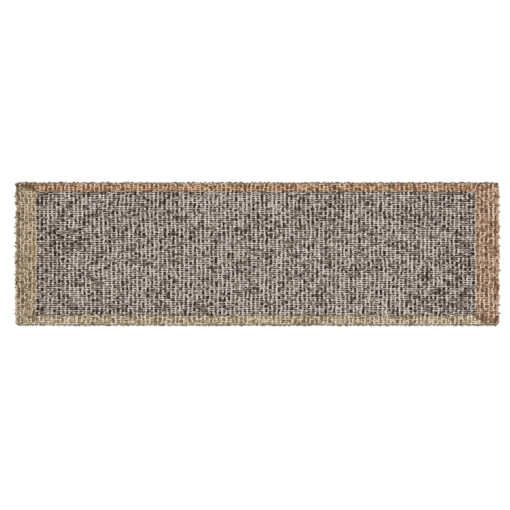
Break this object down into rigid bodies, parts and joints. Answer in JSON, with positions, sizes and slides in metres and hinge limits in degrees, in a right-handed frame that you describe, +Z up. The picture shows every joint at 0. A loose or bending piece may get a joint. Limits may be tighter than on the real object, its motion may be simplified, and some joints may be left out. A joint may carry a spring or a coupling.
{
  "type": "runner rug",
  "caption": "Long flat floor runner of looped yarn in high and low rows, with a mitred border in four colours and overcast edges.",
  "frame": {"origin": "middle of the underside, on the floor", "axes": "+X along the rug towards its right-hand end, +Y towards its far long side, +Z up out of the pile"},
  "size_m": [2.286, 0.686, 0.012],
  "materials": {
    "backing": "plain-woven undyed cotton",
    "latex": "matt, cream",
    "cloth": "plain-woven cotton",
    "field_high": "matt wool yarn, light greige with flecks",
    "field_low": "matt wool yarn, dark brown",
    "left_high": "space-dyed wool yarn, khaki to pink",
    "left_low": "matt wool yarn, olive brown",
    "right_high": "space-dyed wool yarn, pinkish tan",
    "right_low": "matt wool yarn, terracotta brown",
    "far_high": "space-dyed wool yarn, peach to rust",
    "far_low": "matt wool yarn, rust brown",
    "near_high": "space-dyed wool yarn, straw",
    "near_low": "matt wool yarn, dark straw",
    "side_serging": "wool yarn, dark olive brown",
    "left_serging": "wool yarn, khaki",
    "right_serging": "wool yarn, pinkish tan"
  },
  "bodies": {
    "root": {"backing_cloth": "backing", "latex_layer": "latex", "primary_cloth": "cloth", "field_high_loops": "field_high", "field_low_loops": "field_low", "left_border_high_loops": "left_high", "left_border_low_loops": "left_low", "right_border_high_loops": "right_high", "right_border_low_loops": "right_low", "far_border_high_loops": "far_high", "far_border_low_loops": "far_low", "near_border_high_loops": "near_high", "near_border_low_loops": "near_low", "far_edge_serging": "side_serging", "near_edge_serging": "side_serging", "left_end_serging": "left_serging", "right_end_serging": "right_serging"}
  },
  "joints": []
}
